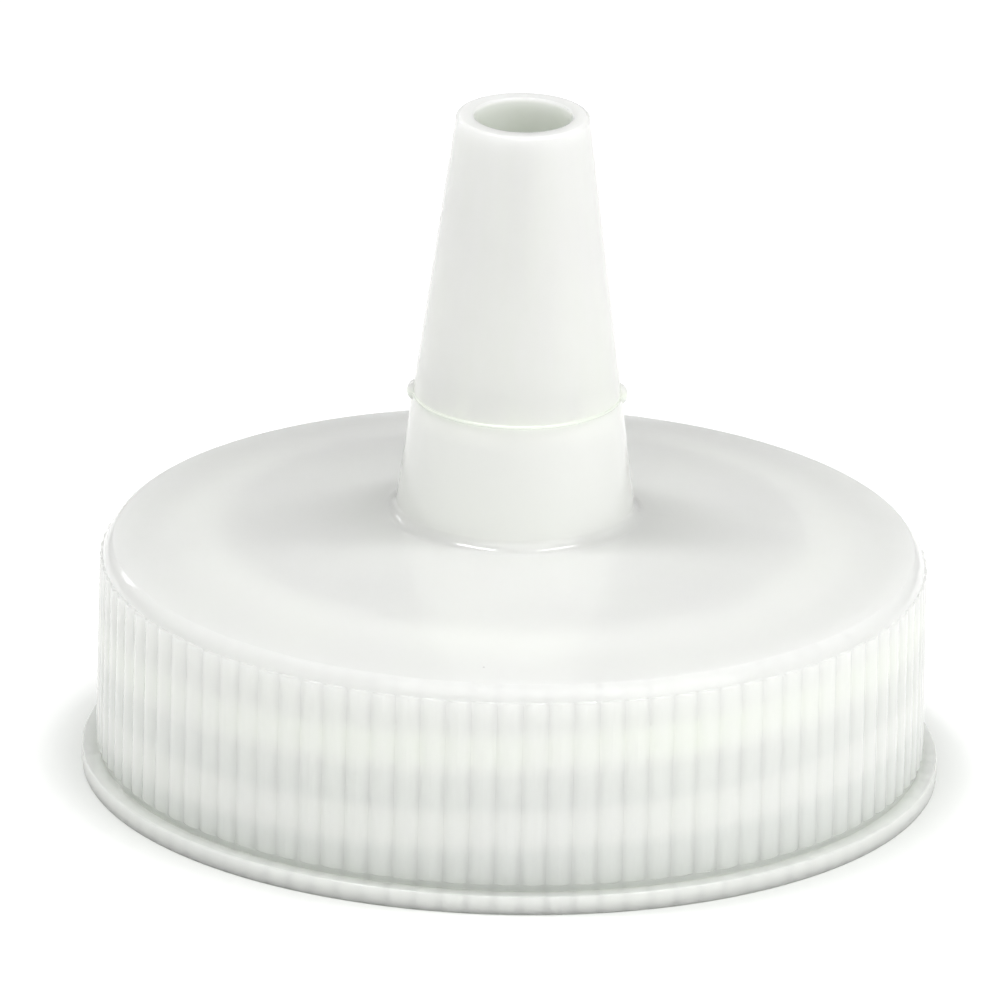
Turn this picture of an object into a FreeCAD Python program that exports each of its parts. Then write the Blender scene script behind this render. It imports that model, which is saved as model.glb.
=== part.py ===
"""Screw-on pouring cap with an open cone nozzle, in translucent plastic.

It is assembled from three pieces:
  cap_body       ribbed skirt, base flange, inner screw thread, domed deck, lower cone and spigot
  cone_nozzle    upper cone welded over the spigot
  sealing_liner  flat ring under the deck that the bottle's rim closes against

The weld leaves a fine bead round the cone and a small lump on each side of it. The seam runs through
the middle of them, so each cone has half.

Millimetres, +Z up, origin at the centre of the cap's open mouth.
"""
import FreeCAD, Part
import math
import os

from FreeCAD import Vector

# Skirt: shallow convex ribs, side by side on a plain round wall
SKIRT_RADIUS = 21.0
SKIRT_WALL_RADIUS = 20.86
SKIRT_TOP = 11.15
RIB_COUNT = 100
RIB_CREST_RADIUS = 1.4
RIB_BOTTOM = 1.28
RIB_ROUND = 0.12
RIB_FOOT = 0.4

# Flange round the open mouth
FLANGE_RADIUS = 21.69
FLANGE_HEIGHT = 0.98
FLANGE_ROUND = 0.09
MOUTH_CHAMFER = 0.3

# Deck: a shallow dome with a narrow shoulder down to the skirt
DECK_EDGE_RADIUS = 20.35
DECK_EDGE_HEIGHT = 11.95
DECK_CROWN = 14.11
DECK_THICKNESS = 1.05
DECK_EDGE_ROUND = 0.12
SHOULDER_SWELL = 0.06

# Sealing land and the liner on it
LAND_HEIGHT = 11.2
LAND_INNER_RADIUS = 14.6
LINER_THICKNESS = 0.8
LINER_INNER_RADIUS = 14.9
LINER_OUTER_RADIUS = 18.6

# Cone nozzle
TIP_HEIGHT = 35.2
TIP_RADIUS = 3.39
CONE_BASE_RADIUS = 6.1
CONE_WALL = 0.95
CONE_BASE_ROUND = 0.6
BORE_CORNER_ROUND = 0.8
ORIFICE_RADIUS = 2.5
ORIFICE_LENGTH = 3.0
TIP_OUTER_ROUND = 0.22
TIP_INNER_ROUND = 0.12

# Seam between the lower and the upper cone: a locating spigot inside, a weld bead and two lumps outside
SEAM_HEIGHT = 20.24
SPIGOT_LENGTH = 0.6
SPIGOT_WALL = 0.47
SPIGOT_CLEARANCE = 0.02
BEAD_ROUND = 0.08
LUMP_ROUND = 0.62
LUMP_PROUD = 0.3
LUMP_EMBED = 0.2

# Right-hand inner screw thread, made in short arcs that follow one another
THREAD_PITCH = 4.233
THREAD_ROOT_RADIUS = 19.0
THREAD_CREST_RADIUS = 17.9
THREAD_ROOT_WIDTH = 1.7
THREAD_CREST_WIDTH = 0.9
THREAD_START_ANGLE = -210.0
THREAD_START_HEIGHT = 2.27
THREAD_SWEEP = 600.0
THREAD_ARCS = 7
THREAD_EMBED = 0.2
THREAD_OVERRUN = 0.3

UP = Vector(0, 0, 1)
CENTRE = Vector(0, 0, 0)
DECK_FALL = (DECK_CROWN - DECK_EDGE_HEIGHT) / DECK_EDGE_RADIUS**2


def deck_height(radius):
    """Height of the deck's upper face at a radius."""
    return DECK_CROWN - DECK_FALL * radius**2


CONE_BASE_HEIGHT = deck_height(CONE_BASE_RADIUS)
CONE_SLOPE = (CONE_BASE_RADIUS - TIP_RADIUS) / (TIP_HEIGHT - CONE_BASE_HEIGHT)
BORE_SEAM_RADIUS = TIP_RADIUS + CONE_SLOPE * (TIP_HEIGHT - SEAM_HEIGHT) - CONE_WALL
BORE_SLOPE = (BORE_SEAM_RADIUS - ORIFICE_RADIUS) / (TIP_HEIGHT - ORIFICE_LENGTH - SEAM_HEIGHT)


def cone_radius(height):
    """Outer radius of the cone at a height."""
    return TIP_RADIUS + CONE_SLOPE * (TIP_HEIGHT - height)


def upper_bore_radius(height):
    """Bore radius above the seam, where the wall thickens towards the orifice."""
    return BORE_SEAM_RADIUS - BORE_SLOPE * (height - SEAM_HEIGHT)


def spigot_radius(height):
    """Outer radius of the spigot, which tapers as the cone does."""
    return BORE_SEAM_RADIUS + SPIGOT_WALL - CONE_SLOPE * (height - SEAM_HEIGHT)


def point(radius, height):
    return Vector(radius, 0, height)


def line(start, end):
    return Part.LineSegment(point(*start), point(*end)).toShape()


def arc(start, through, end):
    return Part.Arc(point(*start), point(*through), point(*end)).toShape()


def turned(edges):
    """Solid of revolution about the cap's axis from a closed outline of (radius, height) edges."""
    outline = Part.Face(Part.Wire(Part.__sortEdges__(edges)))
    return outline.revolve(CENTRE, UP, 360)


def rounded(solid, rounds):
    """Rounds the circular edges found at each (radius, height), by the radius given with it."""
    for spot_radius, spot_height, round_radius in rounds:
        spot = point(spot_radius, spot_height)
        edge = min(solid.Edges, key=lambda e: ring_distance(e, spot))
        solid = solid.makeFillet(round_radius, [edge])
    return solid


def ring_distance(edge, spot):
    """How far a ring about the axis is from a spot, or a large number for any other edge."""
    if not isinstance(edge.Curve, Part.Circle):
        return FLANGE_RADIUS
    return point(edge.Curve.Radius, edge.Curve.Center.z).distanceToPoint(spot)


def dome(inner_radius, outer_radius, drop):
    """Dome line at a drop below the deck's upper face, from the outer radius in to the inner one."""
    middle = (inner_radius + outer_radius) / 2
    return arc(
        (outer_radius, deck_height(outer_radius) - drop),
        (middle, deck_height(middle) - drop),
        (inner_radius, deck_height(inner_radius) - drop),
    )


def bead_half(side):
    """Outline of the weld bead's upper half, for a side of +1, or of its lower half, for a side of -1."""
    middle = BEAD_ROUND * math.sqrt(0.5)
    return arc(
        (cone_radius(SEAM_HEIGHT) + BEAD_ROUND, SEAM_HEIGHT),
        (cone_radius(SEAM_HEIGHT) + middle, SEAM_HEIGHT + side * middle),
        (cone_radius(SEAM_HEIGHT + side * BEAD_ROUND), SEAM_HEIGHT + side * BEAD_ROUND),
    )


def lump_halves(side):
    """The halves of the two weld lumps above the seam, for a side of +1, or below it, for a side of -1."""
    reach = 2 * CONE_BASE_RADIUS
    low = SEAM_HEIGHT - LUMP_ROUND
    slab_low = SEAM_HEIGHT if side > 0 else low
    slab = Part.makeBox(2 * reach, 2 * reach, LUMP_ROUND, Vector(-reach, -reach, slab_low))
    core = Part.makeCone(
        cone_radius(low) - LUMP_EMBED,
        cone_radius(low + 2 * LUMP_ROUND) - LUMP_EMBED,
        2 * LUMP_ROUND,
        Vector(0, 0, low),
    )
    centre = cone_radius(SEAM_HEIGHT) + LUMP_PROUD - LUMP_ROUND
    balls = [Part.makeSphere(LUMP_ROUND, Vector(x, 0, SEAM_HEIGHT)) for x in (-centre, centre)]
    return [ball.common(slab).cut(core) for ball in balls]


def plain_body():
    """The cap's body as one turned shape, without ribs or thread."""
    flange_top = (FLANGE_RADIUS, FLANGE_HEIGHT)
    shoulder_foot = (SKIRT_WALL_RADIUS, SKIRT_TOP)
    deck_edge = (DECK_EDGE_RADIUS, DECK_EDGE_HEIGHT)
    shoulder_swell = (
        (SKIRT_WALL_RADIUS + DECK_EDGE_RADIUS) / 2 + SHOULDER_SWELL,
        (SKIRT_TOP + DECK_EDGE_HEIGHT) / 2 + SHOULDER_SWELL,
    )
    cone_base = (CONE_BASE_RADIUS, CONE_BASE_HEIGHT)
    bead_foot = (cone_radius(SEAM_HEIGHT - BEAD_ROUND), SEAM_HEIGHT - BEAD_ROUND)
    bead_crest = (cone_radius(SEAM_HEIGHT) + BEAD_ROUND, SEAM_HEIGHT)
    spigot_foot = (spigot_radius(SEAM_HEIGHT), SEAM_HEIGHT)
    spigot_height = SEAM_HEIGHT + SPIGOT_LENGTH
    spigot_top = (spigot_radius(spigot_height), spigot_height)
    bore_top = (upper_bore_radius(spigot_height), spigot_height)
    bore_seam = (BORE_SEAM_RADIUS, SEAM_HEIGHT)
    bore_foot_radius = CONE_BASE_RADIUS - CONE_WALL + CONE_SLOPE * DECK_THICKNESS
    bore_foot = (bore_foot_radius, deck_height(bore_foot_radius) - DECK_THICKNESS)
    land_step = (LAND_INNER_RADIUS, deck_height(LAND_INNER_RADIUS) - DECK_THICKNESS)
    land_inner = (LAND_INNER_RADIUS, LAND_HEIGHT)
    land_outer = (THREAD_ROOT_RADIUS, LAND_HEIGHT)
    mouth = (THREAD_ROOT_RADIUS, MOUTH_CHAMFER)
    mouth_rim = (THREAD_ROOT_RADIUS + MOUTH_CHAMFER, 0)
    body = turned([
        line(mouth_rim, (FLANGE_RADIUS, 0)),
        line((FLANGE_RADIUS, 0), flange_top),
        line(flange_top, (SKIRT_WALL_RADIUS, FLANGE_HEIGHT)),
        line((SKIRT_WALL_RADIUS, FLANGE_HEIGHT), shoulder_foot),
        arc(shoulder_foot, shoulder_swell, deck_edge),
        dome(CONE_BASE_RADIUS, DECK_EDGE_RADIUS, 0),
        line(cone_base, bead_foot),
        bead_half(-1),
        line(bead_crest, spigot_foot),
        line(spigot_foot, spigot_top),
        line(spigot_top, bore_top),
        line(bore_top, bore_seam),
        line(bore_seam, bore_foot),
        dome(bore_foot_radius, LAND_INNER_RADIUS, DECK_THICKNESS),
        line(land_step, land_inner),
        line(land_inner, land_outer),
        line(land_outer, mouth),
        line(mouth, mouth_rim),
    ])
    return rounded(body, [
        (*flange_top, FLANGE_ROUND),
        (FLANGE_RADIUS, 0, FLANGE_ROUND),
        (*deck_edge, DECK_EDGE_ROUND),
        (*cone_base, CONE_BASE_ROUND),
        (*bore_foot, BORE_CORNER_ROUND),
    ])


def rib():
    """One upright grip rib on the +X side: the outer sliver of a rod with rounded ends."""
    length = SKIRT_TOP - RIB_BOTTOM
    rod = Part.makeCylinder(RIB_CREST_RADIUS, length, Vector(SKIRT_RADIUS - RIB_CREST_RADIUS, 0, RIB_BOTTOM))
    end_rings = [edge for edge in rod.Edges if edge.isClosed()]
    rod = rod.makeFillet(RIB_ROUND, end_rings)
    core = Part.makeCylinder(SKIRT_WALL_RADIUS - RIB_FOOT, length, Vector(0, 0, RIB_BOTTOM))
    return rod.cut(core)


def ribs():
    """All the grip ribs, evenly round the skirt."""
    made = [rib()]
    for index in range(1, RIB_COUNT):
        copied = made[0].copy()
        copied.rotate(CENTRE, UP, index * 360 / RIB_COUNT)
        made.append(copied)
    return made


def thread_arc():
    """One short stretch of the thread, starting on the +X side at its middle height of 0."""
    sweep = THREAD_SWEEP / THREAD_ARCS
    rise = THREAD_PITCH * sweep / 360
    path = Part.makeHelix(THREAD_PITCH, rise, THREAD_ROOT_RADIUS)
    flank = (THREAD_ROOT_WIDTH - THREAD_CREST_WIDTH) / 2
    flank_slope = flank / (THREAD_ROOT_RADIUS - THREAD_CREST_RADIUS)
    root_half = THREAD_ROOT_WIDTH / 2 + flank_slope * THREAD_EMBED
    crest_half = THREAD_CREST_WIDTH / 2 - flank_slope * THREAD_OVERRUN
    root = THREAD_ROOT_RADIUS + THREAD_EMBED
    crest = THREAD_CREST_RADIUS - THREAD_OVERRUN
    corners = [
        point(root, -root_half),
        point(root, root_half),
        point(crest, crest_half),
        point(crest, -crest_half),
    ]
    profile = Part.makePolygon(corners + corners[:1])
    swept = Part.Wire(path.Edges).makePipeShell([profile], True, True)
    height = rise + THREAD_ROOT_WIDTH + THREAD_PITCH
    base = Vector(0, 0, -height / 2)
    band = Part.makeCylinder(THREAD_ROOT_RADIUS + THREAD_EMBED, 2 * height, base)
    band = band.cut(Part.makeCylinder(THREAD_CREST_RADIUS, 2 * height, base))
    return swept.common(band)


def thread_end_cutter(along):
    """Slants a thread's end from crest to root; along is +1 at its top end and -1 at its foot."""
    size = 2 * THREAD_PITCH
    cutter = Part.makeBox(size, size, size, Vector(-size / 2, 0, -size / 2))
    if along < 0:
        cutter.translate(Vector(0, -size, 0))
    cutter.rotate(CENTRE, UP, 45 * along)
    cutter.translate(Vector(THREAD_ROOT_RADIUS, 0, 0))
    return cutter


def placed_on_thread(shape, turned_by):
    """Moves a shape made at the thread's foot to where the thread is after turning by an angle."""
    shape.rotate(CENTRE, UP, THREAD_START_ANGLE + turned_by)
    shape.translate(Vector(0, 0, THREAD_START_HEIGHT + THREAD_PITCH * turned_by / 360))
    return shape


def thread():
    """The whole thread as a row of arcs, with both of its ends slanted."""
    sweep = THREAD_SWEEP / THREAD_ARCS
    stretch = thread_arc()
    arcs = [placed_on_thread(stretch.copy(), index * sweep) for index in range(THREAD_ARCS)]
    arcs[0] = arcs[0].cut(placed_on_thread(thread_end_cutter(-1), 0))
    arcs[-1] = arcs[-1].cut(placed_on_thread(thread_end_cutter(1), THREAD_SWEEP))
    return arcs


def cap_body():
    return plain_body().multiFuse(ribs() + thread() + lump_halves(-1))


def cone_nozzle():
    """Upper cone, with a socket over the spigot and a straight orifice at its tip."""
    spigot_top = SEAM_HEIGHT + SPIGOT_LENGTH
    socket_top = spigot_top + SPIGOT_CLEARANCE
    bead_crest = (cone_radius(SEAM_HEIGHT) + BEAD_ROUND, SEAM_HEIGHT)
    bead_top = (cone_radius(SEAM_HEIGHT + BEAD_ROUND), SEAM_HEIGHT + BEAD_ROUND)
    tip_outer = (TIP_RADIUS, TIP_HEIGHT)
    tip_inner = (ORIFICE_RADIUS, TIP_HEIGHT)
    orifice_foot = (ORIFICE_RADIUS, TIP_HEIGHT - ORIFICE_LENGTH)
    step_inner = (upper_bore_radius(socket_top), socket_top)
    step_outer = (spigot_radius(socket_top) + SPIGOT_CLEARANCE, socket_top)
    socket_foot = (spigot_radius(SEAM_HEIGHT) + SPIGOT_CLEARANCE, SEAM_HEIGHT)
    cone = turned([
        line(socket_foot, bead_crest),
        bead_half(1),
        line(bead_top, tip_outer),
        line(tip_outer, tip_inner),
        line(tip_inner, orifice_foot),
        line(orifice_foot, step_inner),
        line(step_inner, step_outer),
        line(step_outer, socket_foot),
    ])
    cone = rounded(cone, [
        (*tip_outer, TIP_OUTER_ROUND),
        (*tip_inner, TIP_INNER_ROUND),
    ])
    return cone.multiFuse(lump_halves(1))


def sealing_liner():
    """Flat ring that lies against the sealing land."""
    low = LAND_HEIGHT - LINER_THICKNESS
    ring = Part.makeCylinder(LINER_OUTER_RADIUS, LINER_THICKNESS, Vector(0, 0, low))
    return ring.cut(Part.makeCylinder(LINER_INNER_RADIUS, LINER_THICKNESS, Vector(0, 0, low)))


PIECES = {
    "cap_body": cap_body,
    "cone_nozzle": cone_nozzle,
    "sealing_liner": sealing_liner,
}

os.makedirs("parts", exist_ok=True)
for name, build in PIECES.items():
    shape = build()
    solids = shape.Solids
    print(name, "valid", shape.isValid(), "solids", len(solids), "faces", len(shape.Faces),
          "volume", round(shape.Volume, 2))
    solids[0].exportStep("parts/" + name + ".step")
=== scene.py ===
"""Looks of the pouring spout cap: hazy natural plastic on a white table, in soft studio light."""
import math

import bpy
from mathutils import Matrix, Vector


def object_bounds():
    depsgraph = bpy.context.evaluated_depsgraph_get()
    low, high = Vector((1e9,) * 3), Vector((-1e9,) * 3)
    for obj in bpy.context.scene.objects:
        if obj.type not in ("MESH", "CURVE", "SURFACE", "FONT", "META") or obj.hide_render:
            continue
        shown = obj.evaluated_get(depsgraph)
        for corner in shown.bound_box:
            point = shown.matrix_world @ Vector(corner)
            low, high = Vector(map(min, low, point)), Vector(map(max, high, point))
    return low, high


MM = 0.001

# Camera: far away behind a very long lens, looking a little down, and turned slightly about its view line
CAMERA_ELEVATION = 20.18
CAMERA_ROLL = 1.245
CAMERA_LENS = 4000.0
CAMERA_SENSOR = 36.0
VIEW_WIDTH = 50.77 * MM
VIEW_SIDE_SHIFT = -0.73 * MM
VIEW_HEIGHT_SHARE = 0.408

# Shape of the cap in millimetres, for the looks that follow it
CONE_TIP_RADIUS = 3.39
CONE_TIP_HEIGHT = 35.2
CONE_SLOPE = 0.1272
CONE_WALL_MIDDLE = 0.45
DECK_HEIGHT_AT_CONE = 13.9
SEAM_HEIGHT = 20.24
SKIRT_FADE_START = 19.9
SKIRT_FADE_END = 20.5
RIB_COUNT = 100
THREAD_PITCH = 4.233
THREAD_START_ANGLE = -210.0
THREAD_START_HEIGHT = 2.27
THREAD_SEEN_HIGHER = 0.53
THREAD_LIFT = 10
LINER_INNER_RADIUS = 14.9
LINER_FADE = 0.2

# Plastic: how deep light goes in, in millimetres, and the tones that its bore, as painted shade, and its
# specks are mixed with
CAP_DEPTH = 4.0
NOZZLE_DEPTH = 2.0
LEAST_DEPTH = 0.3
PLASTIC_IOR = 1.5
GLOSS_ROUGHNESS = 0.1
BORE_SHADE_TONE = (0.6, 0.64, 0.57, 1)
BORE_SHADE_SHARE = 0.6
SPECK_TONE = (0.3, 0.31, 0.27, 1)
SPECK_SHARE = 0.5
SPECK_SPACING = 7.0

# Floor: half size in metres, glow, and the distances from the axis in millimetres where the glow starts
# and where it is full
FLOOR_HALF_SIZE = 0.3
FLOOR_GLOW = 0.2
FLOOR_GLOW_START = 21.5
FLOOR_GLOW_FULL = 24.5

SURROUNDINGS_STRENGTH = 0.33


def make_camera(box):
    """Looks along +Y at a point on the cap's axis, at a distance that gives the view its width."""
    elevation = math.radians(CAMERA_ELEVATION)
    target = Vector((VIEW_SIDE_SHIFT, 0, box[1].z * VIEW_HEIGHT_SHARE))
    back = Vector((0, -math.cos(elevation), math.sin(elevation)))
    data = bpy.data.cameras.new("camera")
    data.lens = CAMERA_LENS
    data.sensor_width = CAMERA_SENSOR
    distance = VIEW_WIDTH * CAMERA_LENS / CAMERA_SENSOR
    data.clip_start = distance / 100
    data.clip_end = distance * 10
    camera = bpy.data.objects.new("camera", data)
    bpy.context.scene.collection.objects.link(camera)
    upright = (-back).to_track_quat("-Z", "Y")
    roll = Matrix.Rotation(math.radians(CAMERA_ROLL), 4, back)
    camera.matrix_world = Matrix.Translation(target + back * distance) @ roll @ upright.to_matrix().to_4x4()
    bpy.context.scene.camera = camera


def add_area_light(name, place, size, power, aim):
    """A soft box at a place, aimed at a point, with its size across and along."""
    data = bpy.data.lights.new(name, "AREA")
    data.shape = "RECTANGLE"
    data.size, data.size_y = size
    data.energy = power
    light = bpy.data.objects.new(name, data)
    bpy.context.scene.collection.objects.link(light)
    light.location = place
    light.rotation_mode = "QUATERNION"
    light.rotation_quaternion = (Vector(aim) - Vector(place)).to_track_quat("-Z", "Y")


class Graph:
    """Adds nodes to one tree; an input may be a number, a colour or another node's output."""

    def __init__(self, tree):
        self.tree = tree

    def node(self, kind, inputs, **settings):
        """A new node with its settings, and with values or links for its inputs by place or name."""
        node = self.tree.nodes.new(kind)
        for name, value in settings.items():
            setattr(node, name, value)
        for key, value in inputs.items():
            self.put(node.inputs[key], value)
        return node

    def put(self, socket, value):
        if isinstance(value, bpy.types.NodeSocket):
            self.tree.links.new(value, socket)
        else:
            socket.default_value = value

    def math(self, operation, first, second=0.0):
        return self.node("ShaderNodeMath", {0: first, 1: second}, operation=operation).outputs[0]

    def add(self, *terms):
        total = terms[0]
        for term in terms[1:]:
            total = self.math("ADD", total, term)
        return total

    def times(self, *factors):
        product = factors[0]
        for factor in factors[1:]:
            product = self.math("MULTIPLY", product, factor)
        return product

    def ramp(self, value, start, end):
        """Rises smoothly from 0 at the start value to 1 at the end value."""
        inputs = {"Value": value, "From Min": start, "From Max": end}
        return self.node("ShaderNodeMapRange", inputs, interpolation_type="SMOOTHSTEP").outputs["Result"]

    def mix(self, share, first, second):
        """Blend of two colours."""
        inputs = {0: share, 6: first, 7: second}
        return self.node("ShaderNodeMix", inputs, data_type="RGBA").outputs[2]

    def noise(self, place, size, detail=2.0, stretch=(1, 1, 1)):
        """Soft noise about 0, with features of a size in millimetres, stretched along the axes."""
        scale = [1 / (size * share) for share in stretch]
        moved = self.node("ShaderNodeVectorMath", {0: place, 1: scale}, operation="MULTIPLY").outputs[0]
        inputs = {"Vector": moved, "Scale": 1.0, "Detail": detail}
        return self.math("SUBTRACT", self.node("ShaderNodeTexNoise", inputs).outputs[0], 0.5)

    def bumps(self, layers):
        """Surface normal for bump layers, each a height from a field and its depth in millimetres."""
        normal = None
        for height, depth in layers:
            inputs = {"Height": height, "Distance": depth * MM, "Strength": 1.0}
            if normal is not None:
                inputs["Normal"] = normal
            normal = self.node("ShaderNodeBump", inputs).outputs["Normal"]
        return normal


class Place:
    """Where a shaded point lies on the cap, in millimetres and about its axis."""

    def __init__(self, graph):
        coordinates = graph.node("ShaderNodeTexCoord", {})
        scaled = graph.node("ShaderNodeVectorMath", {}, operation="SCALE")
        graph.put(scaled.inputs["Vector"], coordinates.outputs["Object"])
        graph.put(scaled.inputs["Scale"], 1 / MM)
        self.point = scaled.outputs[0]
        split = graph.node("ShaderNodeSeparateXYZ", {0: self.point})
        x, y, self.height = split.outputs
        self.radius = graph.math("SQRT", graph.add(graph.times(x, x), graph.times(y, y)))
        self.angle = graph.math("ARCTAN2", y, x)


def new_material(name):
    material = bpy.data.materials.new(name)
    material.use_nodes = True
    return material, Graph(material.node_tree), material.node_tree.nodes["Principled BSDF"]


def from_whole(graph, value, lift):
    """How far a value is from the nearest whole number; lift is a whole number that keeps it above 0."""
    fraction = graph.math("FRACT", graph.add(value, lift + 0.5))
    return graph.math("ABSOLUTE", graph.add(fraction, -0.5))


def on_skirt(graph, place):
    """1 at the skirt's radius and beyond it, 0 inside it."""
    return graph.ramp(place.radius, SKIRT_FADE_START, SKIRT_FADE_END)


def thread_band(graph, place):
    """1 where the screw thread lies behind the skirt and 0 between its turns, as a soft-edged band."""
    above_start = graph.add(place.height, -THREAD_START_HEIGHT - THREAD_SEEN_HIGHER)
    turns_up = graph.times(above_start, 1 / THREAD_PITCH)
    turns_round = graph.add(graph.times(place.angle, 1 / math.tau), -THREAD_START_ANGLE / 360)
    turns = graph.add(turns_up, graph.times(turns_round, -1.0))
    off_centre = graph.times(from_whole(graph, turns, THREAD_LIFT), THREAD_PITCH)
    band = graph.ramp(off_centre, 1.5, 0.45)
    in_height = graph.times(graph.ramp(place.height, 1.5, 2.4), graph.ramp(place.height, 10.9, 10.2))
    return graph.times(band, on_skirt(graph, place), in_height)


def rib_groove(graph, place):
    """1 in the valleys between the grip ribs and 0 on their crests, on the skirt only."""
    from_crest = from_whole(graph, graph.times(place.angle, RIB_COUNT / math.tau), RIB_COUNT)
    return graph.times(graph.ramp(from_crest, 0.26, 0.46), on_skirt(graph, place))


def from_seam(graph, place):
    """Height above or below the seam between the lower and the upper cone."""
    return graph.math("ABSOLUTE", graph.add(place.height, -SEAM_HEIGHT))


def near_seam(graph, place):
    """1 on the cone at the seam, fading out above and below it."""
    return graph.ramp(from_seam(graph, place), 1.6, 0.1)


def inside_cone(graph, place):
    """1 on the cone's bore, 0 on its outside and on its open tip."""
    outer = graph.add(CONE_TIP_RADIUS + CONE_SLOPE * CONE_TIP_HEIGHT, graph.times(place.height, -CONE_SLOPE))
    depth = graph.math("SUBTRACT", outer, place.radius)
    in_cone = graph.ramp(depth, CONE_WALL_MIDDLE - 0.1, CONE_WALL_MIDDLE + 0.1)
    below_tip = graph.ramp(place.height, CONE_TIP_HEIGHT - 0.05, CONE_TIP_HEIGHT - 0.3)
    above_deck = graph.ramp(place.height, DECK_HEIGHT_AT_CONE, DECK_HEIGHT_AT_CONE + 1)
    return graph.times(in_cone, below_tip, above_deck)


def specks(graph, place):
    """A few tiny dark specks moulded into the plastic."""
    voronoi = graph.node("ShaderNodeTexVoronoi", {"Vector": place.point, "Scale": 1 / SPECK_SPACING})
    near = graph.ramp(voronoi.outputs["Distance"], 0.1 / SPECK_SPACING, 0.04 / SPECK_SPACING)
    pick = graph.node("ShaderNodeSeparateColor", {0: voronoi.outputs["Color"]}).outputs[0]
    return graph.times(near, graph.ramp(pick, 0.55, 0.56), SPECK_SHARE)


def finish_plastic(graph, shader, place, streaks, depth, tone):
    """What both plastic pieces share: painted shade in the bore, specks, gloss, haze, fine texture and a
    solid weld bead.
    """
    # Painted shade: the colour is darkened on the cone's bore.
    tone = graph.mix(graph.times(inside_cone(graph, place), BORE_SHADE_SHARE), tone, BORE_SHADE_TONE)
    tone = graph.mix(specks(graph, place), tone, SPECK_TONE)
    graph.put(shader.inputs["Base Color"], tone)
    haze = graph.noise(place.point, 1.6, 3.0)
    peel = graph.noise(place.point, 0.45, 2.0)
    sink = graph.noise(place.point, 3.2, 1.0)
    roughness = graph.add(GLOSS_ROUGHNESS, graph.times(haze, 0.08), graph.times(streaks, 0.05))
    graph.put(shader.inputs["Roughness"], roughness)
    shader.inputs["IOR"].default_value = PLASTIC_IOR
    graph.put(shader.inputs["Subsurface Weight"], graph.ramp(from_seam(graph, place), 0.1, 0.3))
    deep_enough = graph.math("MAXIMUM", depth, LEAST_DEPTH)
    graph.put(shader.inputs["Subsurface Scale"], graph.times(deep_enough, MM))
    shader.inputs["Subsurface Radius"].default_value = (1.0, 1.0, 1.0)
    graph.put(shader.inputs["Normal"], graph.bumps([(peel, 0.001), (sink, 0.005), (streaks, 0.0015)]))


def cap_plastic():
    """Natural plastic of the cap: thread and liner show through as lighter bands, the thread's bands also as
    painted light in the colour; painted shade darkens the skirt towards its foot, and the cone is painted
    whiter.
    """
    material, graph, shader = new_material("natural_plastic")
    place = Place(graph)
    cloud = graph.noise(place.point, 6.0, 3.0)
    streaks = graph.noise(place.point, 0.9, 2.0, (1, 1, 12))
    thread = thread_band(graph, place)
    groove = rib_groove(graph, place)
    skirt = graph.times(on_skirt(graph, place), graph.ramp(place.height, 11.2, 10.4))
    foot_shade = graph.times(skirt, graph.ramp(place.height, 10.0, 2.0), graph.ramp(place.height, 0.9, 1.2))
    flange = graph.ramp(place.height, 1.3, 0.9)
    shoulder = graph.times(graph.ramp(place.radius, 18.8, 20.2), graph.ramp(place.height, 10.6, 11.4))
    cone = graph.times(graph.ramp(place.radius, 7.4, 5.9), graph.ramp(place.height, 13.2, 14.4))
    over_liner = graph.ramp(place.radius, LINER_INNER_RADIUS - LINER_FADE, LINER_INNER_RADIUS + LINER_FADE)
    liner = graph.times(over_liner, graph.ramp(place.height, 11.6, 12.2))
    # Light goes deeper at the foot, which darkens it as painted shade.
    depth = graph.add(CAP_DEPTH, graph.times(foot_shade, 2.6), graph.times(thread, -1.6), graph.times(cone, -2.6),
                      graph.times(flange, -1.4), graph.times(shoulder, 1.4), graph.times(liner, -0.2),
                      graph.times(cloud, 1.2), graph.times(near_seam(graph, place), -1.1),
                      graph.times(groove, graph.math("SUBTRACT", 1.0, thread), 1.4))
    tone = graph.mix(graph.add(0.5, cloud), (0.87, 0.93, 0.82, 1), (0.9, 0.95, 0.865, 1))
    # Painted shade: the skirt's colour darkens towards its foot, but not where the thread lies behind it, so
    # the thread shows as painted lighter bands.
    tone = graph.mix(graph.times(graph.math("SUBTRACT", foot_shade, thread), 0.4), tone, (0.78, 0.86, 0.78, 1))
    # Painted light: the cone's colour is made whiter.
    tone = graph.mix(cone, tone, (0.915, 0.94, 0.885, 1))
    finish_plastic(graph, shader, place, streaks, depth, tone)
    return material


def nozzle_plastic():
    """Natural plastic of the nozzle: painted whiter than the cap, as painted light on the cone, with soft
    upright streaks and painted shade in its bore.
    """
    material, graph, shader = new_material("nozzle_plastic")
    place = Place(graph)
    cloud = graph.noise(place.point, 5.0, 3.0)
    streaks = graph.noise(place.point, 1.0, 2.0, (1, 1, 14))
    tip = graph.ramp(place.height, 24.0, 34.0)
    depth = graph.add(NOZZLE_DEPTH, graph.times(tip, 1.2), graph.times(near_seam(graph, place), -1.5),
                      graph.times(cloud, 0.8), graph.times(streaks, 0.8))
    # Painted light: a whiter tone than the cap's, for the light on the cone.
    tone = graph.mix(graph.add(0.5, cloud, streaks), (0.885, 0.925, 0.835, 1), (0.925, 0.95, 0.885, 1))
    finish_plastic(graph, shader, place, streaks, depth, tone)
    return material


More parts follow.
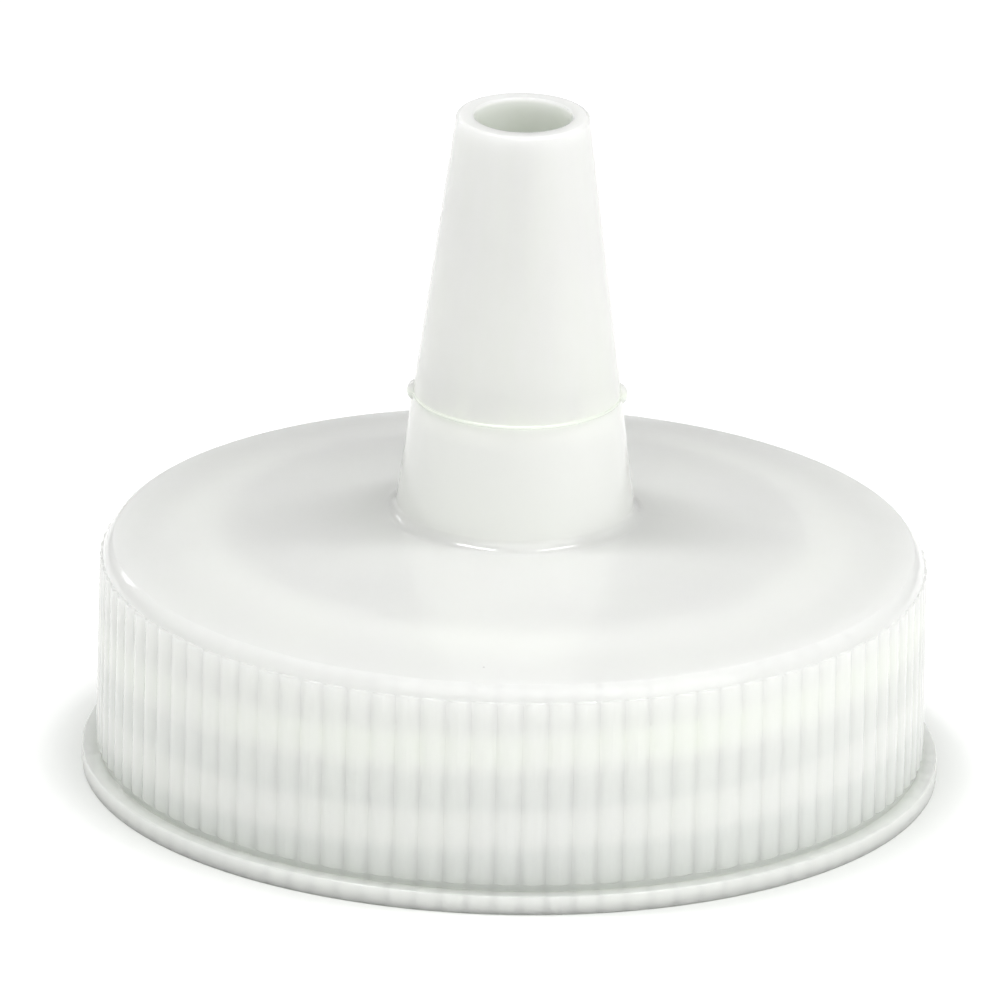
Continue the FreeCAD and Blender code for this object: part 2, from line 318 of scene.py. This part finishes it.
def liner_foam():
    """Matt white foam with fine closed cells."""
    material, graph, shader = new_material("liner_foam")
    place = Place(graph)
    cells = graph.node("ShaderNodeTexVoronoi", {"Vector": place.point, "Scale": 3.0}).outputs["Distance"]
    cloud = graph.noise(place.point, 2.5, 3.0)
    tone = graph.mix(graph.add(0.5, cloud), (0.86, 0.86, 0.83, 1), (0.94, 0.94, 0.92, 1))
    tone = graph.mix(graph.times(cells, 0.25), tone, (0.76, 0.76, 0.73, 1))
    graph.put(shader.inputs["Base Color"], tone)
    graph.put(shader.inputs["Roughness"], graph.add(0.8, graph.times(cloud, 0.2)))
    graph.put(shader.inputs["Normal"], graph.bumps([(cells, 0.05)]))
    return material


def make_floor():
    """Plain white table, with a faint glow away from the cap that keeps its dimmer parts white."""
    size = FLOOR_HALF_SIZE
    mesh = bpy.data.meshes.new("floor")
    corners = [(-size, -size, 0), (size, -size, 0), (size, size, 0), (-size, size, 0)]
    mesh.from_pydata(corners, [], [(0, 1, 2, 3)])
    floor = bpy.data.objects.new("floor", mesh)
    bpy.context.scene.collection.objects.link(floor)
    material, graph, shader = new_material("table_white")
    away = graph.ramp(Place(graph).radius, FLOOR_GLOW_START, FLOOR_GLOW_FULL)
    graph.put(shader.inputs["Emission Strength"], graph.times(away, FLOOR_GLOW))
    shader.inputs["Base Color"].default_value = (0.86, 0.86, 0.86, 1)
    shader.inputs["Emission Color"].default_value = (1, 1, 1, 1)
    shader.inputs["Roughness"].default_value = 0.7
    mesh.materials.append(material)


def make_world():
    """Even, dim surroundings."""
    world = bpy.data.worlds.new("studio")
    world.use_nodes = True
    surroundings = world.node_tree.nodes["Background"]
    surroundings.inputs["Color"].default_value = (1, 1, 1, 1)
    surroundings.inputs["Strength"].default_value = SURROUNDINGS_STRENGTH
    bpy.context.scene.world = world


def make_lights():
    """Two overhead panels for the crisp highlights, two soft boxes in front, and a low strip at the back."""
    add_area_light("overhead_right", (0.165, 0.02, 0.45), (0.17, 0.06), 0.75, (0.165, 0.02, 0))
    add_area_light("overhead_left", (-0.145, 0.02, 0.45), (0.15, 0.06), 0.85, (-0.145, 0.02, 0))
    add_area_light("front", (0, -0.35, 0.35), (0.5, 0.3), 0.57, (0, 0, 0.01))
    add_area_light("front_right", (0.32, -0.28, 0.25), (0.3, 0.3), 0.47, (0, 0, 0.01))
    add_area_light("back_left", (-0.3, 0.36, 0.2), (0.06, 0.16), 0.08, (0, 0, 0.01))


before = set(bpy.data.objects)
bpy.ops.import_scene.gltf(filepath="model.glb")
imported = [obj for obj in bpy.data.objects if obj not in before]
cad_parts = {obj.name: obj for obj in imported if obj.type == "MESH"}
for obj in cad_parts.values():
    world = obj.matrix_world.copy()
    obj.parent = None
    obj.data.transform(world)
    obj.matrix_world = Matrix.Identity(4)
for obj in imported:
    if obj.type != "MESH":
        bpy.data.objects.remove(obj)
cad_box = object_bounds()

make_camera(cad_box)
make_floor()
make_world()
make_lights()
FINISHES = {"cap_body": cap_plastic, "cone_nozzle": nozzle_plastic, "sealing_liner": liner_foam}
for name, finish in FINISHES.items():
    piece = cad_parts[name]
    piece.data.materials.clear()
    piece.data.materials.append(finish())
bpy.context.scene.view_settings.view_transform = "Standard"
